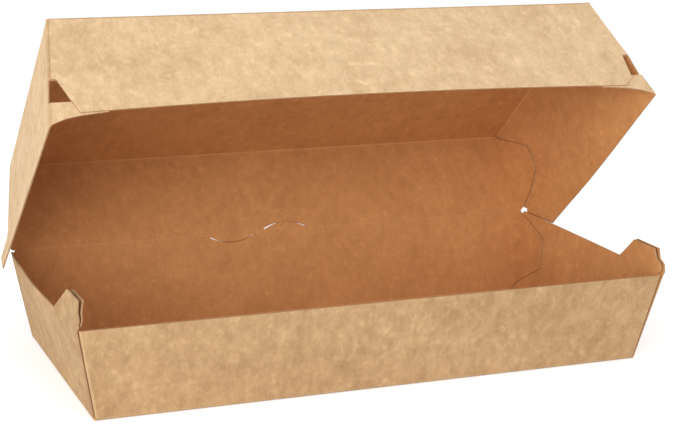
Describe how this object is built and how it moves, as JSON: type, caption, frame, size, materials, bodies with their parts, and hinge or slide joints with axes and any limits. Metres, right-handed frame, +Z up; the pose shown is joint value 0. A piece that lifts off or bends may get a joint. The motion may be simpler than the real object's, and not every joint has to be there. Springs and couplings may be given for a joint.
{
  "type": "takeaway box",
  "caption": "Long shallow folded takeaway box of plain brown kraft board with flared walls, corner ears and a hinged lid that stands open.",
  "frame": {"origin": "middle of the underside of the floor, on the surface that the box stands on", "axes": "+X runs along the box, to the right seen from the front; +Y points from the front wall to the hinge; +Z is up"},
  "size_m": [0.2266, 0.1239, 0.1265],
  "materials": {
    "tray_board": "matt",
    "lid_board": "matt"
  },
  "bodies": {
    "tray": {"tray": "tray_board"},
    "lid": {"lid": "lid_board"}
  },
  "joints": [
    {"name": "lid_hinge", "type": "hinge", "parent": "tray", "child": "lid", "pos_m": [0, 0.0523, 0.033], "axis": [-1, 0, 0], "range_deg": [-43.3, 126.7]}
  ]
}
